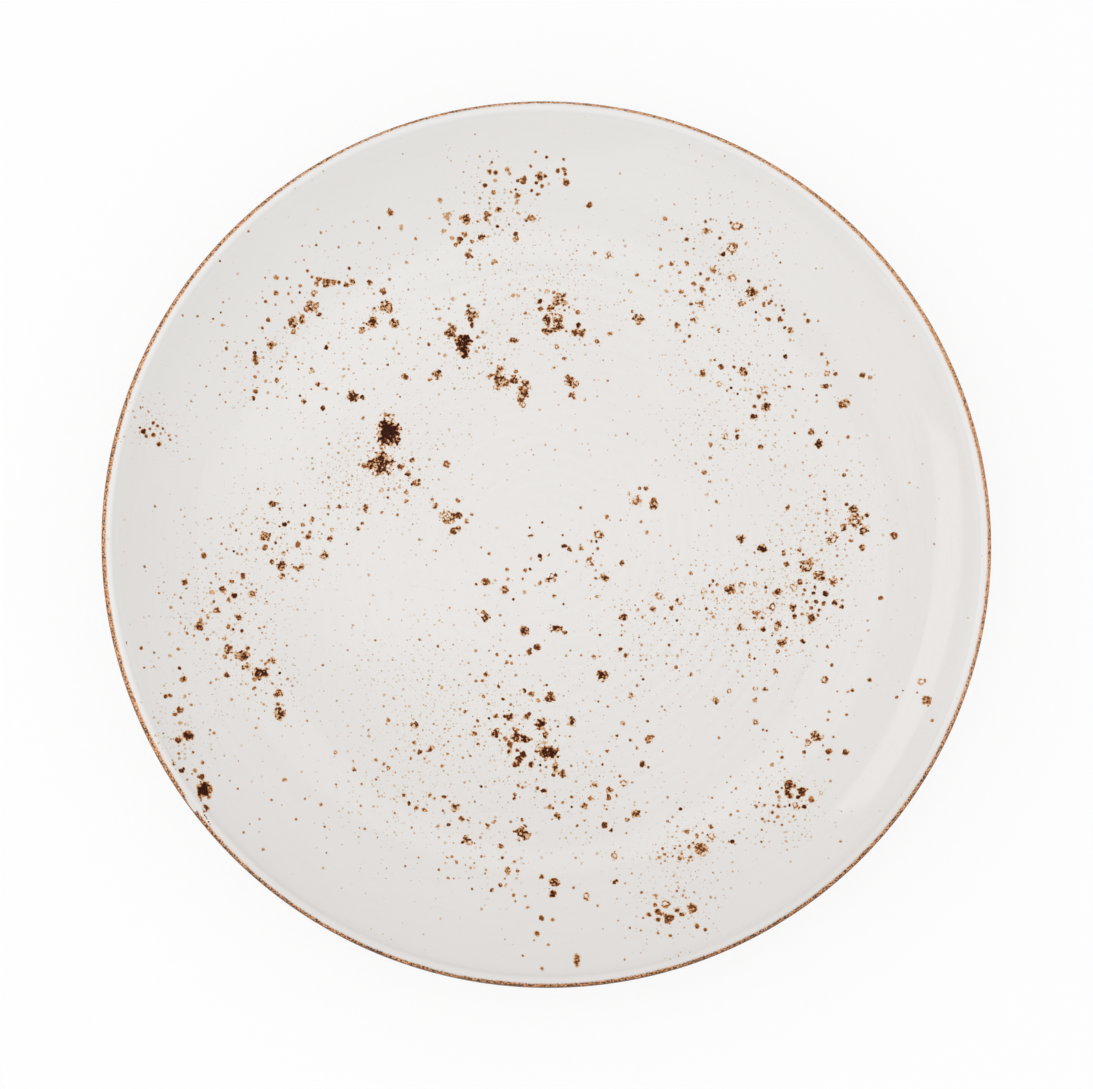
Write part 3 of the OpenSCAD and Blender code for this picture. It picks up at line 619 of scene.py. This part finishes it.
def iron_spots():
    """All the spots' lenses in one mesh."""
    places = list(LARGE_SPOTS)
    for table, tone, hollow in SPOT_KINDS:
        places += [(x, y, size, size, tone, hollow) for x, y, size in table]
    all_spots = bmesh.new()
    all_spots.verts.layers.float_color.new("spot")
    one_spot = bpy.data.meshes.new("one spot")
    for place in places:
        lens = spot_lens(*place)
        lens.to_mesh(one_spot)
        lens.free()
        all_spots.from_mesh(one_spot)
    bpy.data.meshes.remove(one_spot)
    return all_spots


# Materials

class Nodes:
    """Short hands for wiring one node tree."""

    def __init__(self, tree):
        self.tree = tree

    def add(self, kind, inputs=(), **settings):
        node = self.tree.nodes.new(kind)
        for key, value in settings.items():
            setattr(node, key, value)
        for key, value in dict(inputs).items():
            self.feed(node.inputs[key], value)
        return node

    def feed(self, socket, value):
        if isinstance(value, bpy.types.NodeSocket):
            self.tree.links.new(value, socket)
        else:
            socket.default_value = value

    def math(self, operation, *values, clamp=False):
        node = self.add("ShaderNodeMath", dict(enumerate(values)), operation=operation, use_clamp=clamp)
        return node.outputs[0]

    def scaled(self, value, factor, offset, clamp=False):
        return self.math("MULTIPLY_ADD", value, factor, offset, clamp=clamp)

    def total(self, first, *others):
        for other in others:
            first = self.math("ADD", first, other)
        return first

    def product(self, first, *others):
        for other in others:
            first = self.math("MULTIPLY", first, other)
        return first

    def vector(self, operation, *values):
        node = self.add("ShaderNodeVectorMath", dict(enumerate(values)), operation=operation)
        return node.outputs["Value" if operation in ("LENGTH", "DOT_PRODUCT") else "Vector"]

    def noise(self, vector, size, detail=2, roughness=0.5):
        """Noise from 0 to 1 whose lumps are about the given size in metres."""
        inputs = {"Vector": vector, "Scale": 1 / size, "Detail": detail, "Roughness": roughness}
        return self.add("ShaderNodeTexNoise", inputs).outputs["Fac"]

    def swing(self, vector, size, reach, detail=2, roughness=0.5):
        """Noise that swings as far below zero as above it."""
        return self.scaled(self.noise(vector, size, detail, roughness), 2 * reach, -reach)

    def span(self, value, low, high, out_low=0.0, out_high=1.0):
        """Smooth step from low to high, given out as out_low to out_high."""
        inputs = {"Value": value, "From Min": low, "From Max": high, "To Min": out_low, "To Max": out_high}
        return self.add("ShaderNodeMapRange", inputs, interpolation_type="SMOOTHSTEP").outputs["Result"]

    def blend(self, share, first, second):
        return self.add("ShaderNodeMix", {0: share, 6: first, 7: second}, data_type="RGBA").outputs[2]

    def mix_shaders(self, share, first, second):
        return self.add("ShaderNodeMixShader", {0: share, 1: first, 2: second}).outputs["Shader"]

    def ramp(self, value, stops):
        node = self.add("ShaderNodeValToRGB", {"Fac": value})
        for k, (place, colour) in enumerate(stops):
            element = node.color_ramp.elements[k] if k < 2 else node.color_ramp.elements.new(place)
            element.position = place
            element.color = tint(*colour)
        return node.outputs["Color"]

    def part(self, place, axis):
        return self.add("ShaderNodeSeparateXYZ", {"Vector": place}).outputs[axis]

    def round_axis(self, place):
        """How far a place is from the plate's axis, and the level direction out to it."""
        flat = self.vector("MULTIPLY", place, (1, 1, 0))
        return self.vector("LENGTH", flat), self.vector("NORMALIZE", flat)

    def toward(self, facing, side, low, high, out_low=0.0, out_high=1.0):
        """Smooth step over the cosine between a direction and a side of the plate."""
        return self.span(self.vector("DOT_PRODUCT", facing, side), low, high, out_low, out_high)

    def skin(self, shader, colour, roughness, height, depth, strength):
        """Gives the shader its colour, its sheen and the fine relief of its surface."""
        bump = self.add("ShaderNodeBump", {"Height": height, "Distance": depth, "Strength": strength})
        self.feed(shader.inputs["Base Color"], colour)
        self.feed(shader.inputs["Roughness"], roughness)
        self.feed(shader.inputs["Normal"], bump.outputs["Normal"])


def tint(red, green, blue):
    """A colour given as it looks on a screen, 0 to 255, in the linear values that a shader takes."""
    parts = [c / 255 for c in (red, green, blue)]
    return tuple(c / 12.92 if c <= 0.04045 else ((c + 0.055) / 1.055) ** 2.4 for c in parts) + (1,)


def level(degrees):
    """The level direction at an azimuth, counted from the plate's right towards its far side."""
    return (math.cos(math.radians(degrees)), math.sin(math.radians(degrees)), 0)


def group(name, inputs, outputs):
    """An empty node group, as its nodes' helper, its input sockets by name and its output node."""
    tree = bpy.data.node_groups.new(name, "ShaderNodeTree")
    for kind, socket in inputs:
        tree.interface.new_socket(socket, in_out="INPUT", socket_type=kind)
    for kind, socket in outputs:
        tree.interface.new_socket(socket, in_out="OUTPUT", socket_type=kind)
    nodes = Nodes(tree)
    return nodes, nodes.add("NodeGroupInput").outputs, nodes.add("NodeGroupOutput").inputs


FLOAT = "NodeSocketFloat"
COLOUR = "NodeSocketColor"
VECTOR = "NodeSocketVector"
WHITE = (1, 1, 1, 1)

GLAZE_WARM = tint(229, 226, 223)
GLAZE_COOL = tint(226, 223, 221)
# Painted light and painted shade: tones that stand in for how the light falls across the plate
GLAZE_PAINTED_LIGHT = tint(233, 231, 229)
GLAZE_PAINTED_SHADE = tint(221, 218, 215)
GLAZE_SHADE = tint(220, 216, 212)
GLAZE_IOR = 1.5
SKIN_DEPTH = 0.012 * MM
SKIN_STRENGTH = 0.6
# How strong the painted highlight on the crests of the throwing rings is
CREST_HIGHLIGHT = 0.22
# How far a mark of the turning keeps its place round the plate: the higher, the shorter
TURNING_SMEAR = 9 * MM
# The sides where painted light whitens the wall's glaze and painted shade darkens the well's, and the side
# away from the viewer
PAINTED_LIGHT_SIDE = (-0.2, 0.98, 0)
PAINTED_SHADE_SIDE = (-0.6, -0.8, 0)
FAR_SIDE = (0, 1, 0)

# The dust: the size of its cells and of its specks, a second finer layer of it set beside the first, and how
# strong the second is
DUST_CELL = 1.6 * MM
DUST_SIZE = 0.52 * MM
FINE_DUST_CELL = 0.95 * MM
FINE_DUST_SIZE = 0.75
FINE_DUST_SHIFT = (31 * MM, 17 * MM, 0)
FINE_DUST_STRENGTH = 0.5
DUST_TINTS = ((0.0, (222, 210, 198)), (0.4, (202, 172, 140)), (1.0, (138, 92, 56)))

IRON_TINTS = (
    (0.0, (226, 208, 188)), (0.16, (208, 169, 126)), (0.32, (183, 122, 64)), (0.48, (142, 80, 30)),
    (0.66, (99, 47, 11)), (0.84, (68, 26, 4)), (1.0, (50, 17, 8)),
)
# How much of the surface's sheen the densest iron takes away
IRON_DULL = 0.44
# How much rougher than the glaze iron and oxide are
IRON_ROUGHER = 0.12

OXIDE_TINTS = (
    (0.15, (228, 174, 128)), (0.34, (214, 150, 92)), (0.5, (190, 120, 62)), (0.66, (148, 86, 38)),
    (0.84, (96, 54, 22)), (1.0, (54, 32, 18)),
)
# Azimuth where the brush's stroke ends, and how many degrees of the band it leaves off there
STROKE_AT = 217.7
STROKE_LIFT = -32
# The side where painted shade darkens the band, and the side towards which the band is paler
BAND_SHADED_SIDE = (0.09, -0.996, 0)
BAND_PALE_SIDE = (0.93, 0.37, 0)
# Where the brush went narrow or wide: azimuth, the cosine where the change starts, and degrees added
BAND_DRIFTS = ((100, 0.82, -10), (235, 0.85, -7), (205, 0.9, 2), (33, 0.85, 8), (280, 0.8, -3))


def glaze_surface():
    """Warm white stoneware glaze: drifts of tone, marks of the turning, painted light and shade, and the
    dimpling of its skin.
    """
    n, given, out = group("stoneware glaze", [(VECTOR, "Place")],
                          [(COLOUR, "Colour"), (FLOAT, "Roughness"), (FLOAT, "Height")])
    place = given["Place"]
    across, facing = n.round_axis(place)
    drift = n.noise(place, 45 * MM, 3)
    mottle = n.noise(place, 3.2 * MM, 3)
    colour = n.blend(n.span(drift, 0.35, 0.65, 0, 0.4), GLAZE_WARM, GLAZE_COOL)
    colour = n.blend(n.span(mottle, 0.55, 0.8, 0, 0.2), colour, GLAZE_SHADE)
    # Painted highlight on the crests of the throwing rings, in patches, as far out as the rings show
    coils = n.product(across, TURN / (RING_PITCH * MM))
    turned = n.math("ARCTAN2", n.part(place, "Y"), n.part(place, "X"))
    sway = n.product(n.noise(place, 22 * MM, 1), 4.0)
    crest_highlight = n.span(n.math("SINE", n.total(coils, turned, sway)), -0.2, 1.0)
    patch = n.span(n.noise(place, 28 * MM, 2), 0.42, 0.62)
    shown = n.span(across, PLATE_R * 0.72, PLATE_R * 0.6)
    colour = n.blend(n.product(crest_highlight, patch, shown, CREST_HIGHLIGHT), colour, GLAZE_PAINTED_LIGHT)
    # Fine marks of the turning, drawn out round the plate
    smear = n.vector("MULTIPLY", facing, (TURNING_SMEAR, TURNING_SMEAR, 0))
    along = n.vector("ADD", smear, n.add("ShaderNodeCombineXYZ", {"Z": across}).outputs[0])
    marks = n.noise(along, 1.3 * MM, 3, 0.6)
    colour = n.blend(n.span(marks, 0.5, 0.72, 0, 0.24), colour, GLAZE_SHADE)
    # Painted shade darkens the glaze on the near side of the well and the wall, and painted light whitens it
    # on the far side
    painted_shade_well = n.toward(facing, PAINTED_SHADE_SIDE, 0.1, 0.95, 0, 0.5)
    painted_shade_wall = n.toward(facing, FAR_SIDE, -0.3, -0.95, 0, 0.36)
    on_wall = n.span(across, PLATE_R * 0.74, PLATE_R * 0.84)
    tone_by_side = n.scaled(n.math("SUBTRACT", painted_shade_wall, painted_shade_well), on_wall, painted_shade_well)
    tone_by_side = n.product(tone_by_side, n.span(across, PLATE_R * 0.35, PLATE_R * 0.62))
    colour = n.blend(tone_by_side, colour, GLAZE_PAINTED_SHADE)
    # Painted light: whiter towards the far side, from the well's edge outwards
    painted_lighting = n.toward(facing, PAINTED_LIGHT_SIDE, 0.0, 0.9, 0, 0.4)
    painted_lighting = n.product(painted_lighting, n.span(across, PLATE_R * 0.5, PLATE_R * 0.62))
    colour = n.blend(painted_lighting, colour, GLAZE_PAINTED_LIGHT)
    # Painted light whitens the glaze on the lip, and painted shade darkens it on the side nearest the viewer
    on_lip = n.span(across, PLATE_R - 6.5 * MM, PLATE_R - 3 * MM, 0, 0.9)
    lip_lit_side = n.toward(facing, FAR_SIDE, -0.8, -0.2)
    colour = n.blend(on_lip, colour, n.blend(lip_lit_side, GLAZE_PAINTED_SHADE, GLAZE_PAINTED_LIGHT))
    n.feed(out["Colour"], colour)
    n.feed(out["Roughness"], n.span(n.noise(place, 12 * MM, 2), 0.3, 0.7, 0.07, 0.12))
    n.feed(out["Height"], n.scaled(drift, 3.0, n.noise(place, 2.6 * MM, 2)))
    return n.tree


def iron_dust():
    """Fine tan specks of iron. The density says what share of the small cells hold one."""
    given = [(VECTOR, "Place"), (FLOAT, "Density"), (FLOAT, "Cell"), (FLOAT, "Size")]
    n, given, out = group("iron dust", given, [(FLOAT, "Mask")])
    scale = n.math("DIVIDE", 1, given["Cell"])
    cells = n.add("ShaderNodeTexVoronoi", {"Vector": given["Place"], "Scale": scale}, voronoi_dimensions="2D")
    away = n.product(cells.outputs["Distance"], given["Cell"])
    # Each cell's own chance values give the speck's size, whether it is there, and its strength
    chance = n.add("ShaderNodeSeparateColor", {"Color": cells.outputs["Color"]}).outputs
    uneven = n.scaled(n.product(chance["Red"], chance["Red"]), 0.9, 0.4)
    wobble = n.scaled(n.noise(given["Place"], 0.5 * MM, 2), 1.1, 0.45)
    dab = n.math("DIVIDE", away, n.product(given["Size"], uneven, wobble))
    dab = n.math("SUBTRACT", 1, dab, clamp=True)
    there = n.math("LESS_THAN", chance["Green"], given["Density"])
    strength = n.scaled(n.math("POWER", chance["Blue"], 3), 0.8, 0.16)
    n.feed(out["Mask"], n.product(n.span(dab, 0, 0.5), there, strength))
    return n.tree


def brushed_oxide():
    """The brown band: how much oxide there is round the lip's section, and its grainy colour."""
    n, given, out = group("brushed oxide", [(VECTOR, "Place")], [(FLOAT, "Mask"), (COLOUR, "Colour")])
    place = given["Place"]
    from_axis, facing = n.round_axis(place)
    across = n.math("SUBTRACT", from_axis, LIP_C[0])
    up = n.math("SUBTRACT", n.part(place, "Z"), LIP_C[1])
    turned = n.product(n.math("ARCTAN2", up, across), 180 / math.pi)
    # The band's upper limit drifts, and runs out where the brush's stroke comes round to its start
    top = BAND_TOP - 1
    for azimuth, low, depth in BAND_DRIFTS:
        top = n.math("ADD", top, n.toward(facing, level(azimuth), low, 1, 0, depth))
    lift_off = n.toward(facing, level(STROKE_AT), 0.9986, 1, 0, STROKE_LIFT)
    before = n.math("LESS_THAN", n.vector("DOT_PRODUCT", facing, level(STROKE_AT + 90)), 0)
    top = n.scaled(lift_off, before, top)
    # Both limits wander and are ragged
    wander = n.swing(place, 7 * MM, 6)
    ragged = n.swing(place, 0.7 * MM, 15, 3, 0.7)
    below_top = n.math("SUBTRACT", n.total(top, wander, ragged), turned)
    above_low = n.scaled(ragged, 0.8, n.math("SUBTRACT", turned, BAND_LOW - 4))
    # Clouds and grains of oxide: the grains are dark outside and fade towards the white glaze
    cloud = n.scaled(n.noise(place, 4.5 * MM, 3), 0.6, -0.17)
    grains = n.span(n.noise(place, 0.62 * MM, 2, 0.6), 0.42, 0.62)
    grains = n.product(grains, n.span(turned, 72, 54, 0.4, 0.88))
    # Painted shade: the band darkens down the lip's outer face, which turns away from the light
    outside = n.span(turned, 50, 18, 0, 0.27)
    # Painted shade darkens the band on the near side, where the lip's outer face turns away from the light;
    # it is paler towards the right
    painted_lighting = n.toward(facing, BAND_SHADED_SIDE, 0.3, 0.95, 0, 0.22)
    tone_by_side = n.toward(facing, BAND_PALE_SIDE, 0.6, 0.95, 0, -0.1)
    n.feed(out["Mask"], n.product(n.span(below_top, -9, 8), n.span(above_low, -8, 10)))
    n.feed(out["Colour"], n.ramp(n.total(grains, cloud, outside, painted_lighting, tone_by_side), OXIDE_TINTS))
    return n.tree


GLAZE = glaze_surface()
DUST = iron_dust()
OXIDE = brushed_oxide()


def emptied(owner):
    """The helper for the owner's node tree, with nothing in it yet."""
    owner.use_nodes = True
    owner.node_tree.nodes.clear()
    return Nodes(owner.node_tree)


def material(name):
    made = bpy.data.materials.new(name)
    n = emptied(made)
    shader = n.add("ShaderNodeBsdfPrincipled")
    n.feed(n.add("ShaderNodeOutputMaterial").inputs["Surface"], shader.outputs["BSDF"])
    return made, n, shader, n.add("ShaderNodeTexCoord").outputs["Object"]


def use_group(n, tree, **inputs):
    return n.add("ShaderNodeGroup", inputs, node_tree=tree).outputs


def coat(name, density, size=DUST_SIZE):
    """A glazed surface with iron dust in it, which takes the brown oxide where it comes near the lip."""
    made, n, shader, place = material(name)
    glaze = use_group(n, GLAZE, Place=place)
    if isinstance(density, str):
        density = n.add("ShaderNodeAttribute", attribute_name=density).outputs["Fac"]
    beside = n.vector("ADD", place, FINE_DUST_SHIFT)
    size_fine = size * FINE_DUST_SIZE
    dust = use_group(n, DUST, Place=place, Density=density, Cell=DUST_CELL, Size=size)["Mask"]
    fine = use_group(n, DUST, Place=beside, Density=density, Cell=FINE_DUST_CELL, Size=size_fine)["Mask"]
    dust = n.math("MAXIMUM", dust, n.product(fine, FINE_DUST_STRENGTH))
    colour = n.blend(n.span(dust, 0.0, 0.3), glaze["Colour"], n.ramp(dust, DUST_TINTS))
    oxide = use_group(n, OXIDE, Place=place)
    colour = n.blend(oxide["Mask"], colour, oxide["Colour"])
    roughness = n.scaled(oxide["Mask"], IRON_ROUGHER, glaze["Roughness"])
    n.skin(shader, colour, roughness, glaze["Height"], SKIN_DEPTH, SKIN_STRENGTH)
    n.feed(shader.inputs["IOR"], GLAZE_IOR)
    return made


def spot_material():
    """Iron melted into the glaze: dark grains in a caramel bed, fading into clear white at a ragged edge."""
    made, n, shader, place = material("iron spot in glaze")
    glaze = use_group(n, GLAZE, Place=place)
    kept = n.add("ShaderNodeAttribute", attribute_name="spot").outputs
    rho, tone, hollow = n.add("ShaderNodeSeparateColor", {"Color": kept["Color"]}).outputs
    spread = kept["Alpha"]
    clots = n.swing(place, 0.9 * MM, 1.0, 1, 0.6)
    grain = n.swing(place, 0.5 * MM, 0.5, 0)
    pulled = n.total(n.swing(place, 2.3 * MM, 0.65, 1), n.swing(place, 1.1 * MM, 0.4, 0))
    # Noise pulls the round spot into a blot, less so on the wall than in the well
    rough = n.span(n.round_axis(place)[0], PLATE_R * 0.7, PLATE_R * 0.86, 1.0, 0.6)
    blot = n.scaled(pulled, rough, rho)
    # Iron is thickest in the blot's middle, or round it where the spot is hollow, and fills a black spot
    core = n.product(n.span(blot, 0.42, 0.1), hollow)
    bed = n.product(n.span(blot, 0.98, 0.3, 0, 0.76), n.span(tone, 0.9, 1.0, 1.0, 1.3))
    bed = n.scaled(core, -0.6, bed)
    # The noise opens gaps between clots, least in small spots and in black ones
    gaps = n.product(n.total(clots, grain), n.span(spread, 0.1, 0.6, 0.5, 1.1))
    gaps = n.product(gaps, n.span(tone, 0.9, 1.0, 1.0, 0.7), rough)
    grains = n.scaled(n.total(bed, gaps), 1.8, -0.62, clamp=True)
    stain = n.product(n.span(blot, 0.92, 0.5, 0, 0.27), n.scaled(core, -0.75, 1))
    stain = n.product(stain, n.span(clots, -0.35, 0.2, 0.5, 1.2))
    amount = n.product(n.math("MAXIMUM", grains, stain), tone, n.span(rho, 0.99, 0.9))
    colour = n.blend(n.span(amount, 0.02, 0.14), glaze["Colour"], n.ramp(amount, IRON_TINTS))
    roughness = n.scaled(amount, IRON_ROUGHER, glaze["Roughness"])
    height = n.scaled(amount, 2.5, glaze["Height"])
    n.skin(shader, colour, roughness, height, SKIN_DEPTH, SKIN_STRENGTH)
    n.feed(shader.inputs["Specular IOR Level"], n.scaled(amount, -IRON_DULL, 0.5))
    n.feed(shader.inputs["IOR"], GLAZE_IOR)
    return made


def clay_material():
    """Bare fired stoneware: buff, sandy, with dark iron grains, and toasted where it meets the glaze."""
    made, n, shader, place = material("bare stoneware")
    sand = n.noise(place, 0.5 * MM, 4, 0.7)
    cloud = n.noise(place, 9 * MM, 3)
    iron = use_group(n, DUST, Place=place, Density=0.3, Cell=1.1 * MM, Size=0.3 * MM)["Mask"]
    colour = n.blend(n.span(cloud, 0.3, 0.7), tint(212, 196, 174), tint(200, 182, 158))
    colour = n.blend(n.span(sand, 0.35, 0.75), colour, tint(178, 158, 134))
    colour = n.blend(n.span(n.part(place, "Z"), 0.3 * MM, BARE_H, 0, 0.55), colour, tint(176, 126, 84))
    colour = n.blend(n.span(iron, 0.05, 0.5, 0, 0.9), colour, tint(84, 56, 38))
    n.skin(shader, colour, n.span(sand, 0.3, 0.7, 0.74, 0.9), sand, 0.05 * MM, 0.7)
    return made


top_glaze = coat("white glaze inside", "dust")
under_glaze = coat("white glaze underneath", 0.1, 0.42 * MM)
finish_piece(clay_body(), "clay", clay_material(), "clay", "ceramic_body")
finish_piece(top_coat(), "top_coat", top_glaze, "white_glaze", "top_glaze")
finish_piece(rim_band(), "brushed_band", coat("brown oxide band", 0.0), "brown_band", "rim_band")
finish_piece(underside_coat(), "underside_coat", under_glaze, "white_glaze", "underside_glaze")
finish_piece(foot_well_coat(), "foot_well_coat", under_glaze, "white_glaze", "foot_well_glaze")
finish_piece(iron_spots(), "iron_spots", spot_material(), "iron_spot", "iron_flecks")


# Camera, floor, room and lamps

def aim(thing, at, turn):
    thing.location = at
    thing.rotation_mode = "QUATERNION"
    thing.rotation_quaternion = turn


def floor():
    """A pale matt floor that is nearly plain white to the camera and keeps the plate's faint shadow."""
    made, n, shader, _ = material("pale floor")
    n.feed(shader.inputs["Base Color"], tint(246, 246, 246))
    n.feed(shader.inputs["Roughness"], 0.9)
    n.feed(shader.inputs["Specular IOR Level"], 0.1)
    white = n.add("ShaderNodeEmission", {"Color": WHITE, "Strength": 1.0}).outputs["Emission"]
    seen = n.product(n.add("ShaderNodeLightPath").outputs["Is Camera Ray"], FLOOR_WHITE)
    end = next(node for node in made.node_tree.nodes if node.type == "OUTPUT_MATERIAL")
    n.feed(end.inputs["Surface"], n.mix_shaders(seen, shader.outputs["BSDF"], white))
    bm = bmesh.new()
    bmesh.ops.create_grid(bm, x_segments=1, y_segments=1, size=FLOOR_REACH)
    put("floor", mesh_of(bm, "floor", made))


def room():
    """Even white light from all round, and plain white behind the plate."""
    world = bpy.data.worlds.new("room")
    bpy.context.scene.world = world
    n = emptied(world)
    lit = n.add("ShaderNodeBackground", {"Color": WHITE, "Strength": AMBIENT}).outputs["Background"]
    seen = n.add("ShaderNodeBackground", {"Color": WHITE, "Strength": 1.0}).outputs["Background"]
    ray = n.add("ShaderNodeLightPath").outputs["Is Camera Ray"]
    n.feed(n.add("ShaderNodeOutputWorld").inputs["Surface"], n.mix_shaders(ray, lit, seen))


def softbox(name, at, aimed, size, power):
    lamp = bpy.data.lights.new(name, "AREA")
    lamp.shape = "RECTANGLE"
    lamp.size, lamp.size_y = size
    lamp.energy = power
    aim(put(name, lamp), at, (Vector(aimed) - Vector(at)).to_track_quat("-Z", "Y"))


camera = bpy.data.cameras.new("camera")
camera.sensor_width = SENSOR
camera.lens = SENSOR * reach_px / FRAME_PX
camera.clip_start = 0.05
camera.clip_end = 20
camera_object = put("camera", camera)
aim(camera_object, camera_at, camera_turn)
bpy.context.scene.camera = camera_object

floor()
room()
for name, setting in SOFTBOXES.items():
    softbox(name, *setting)
bpy.context.scene.view_settings.view_transform = "Standard"
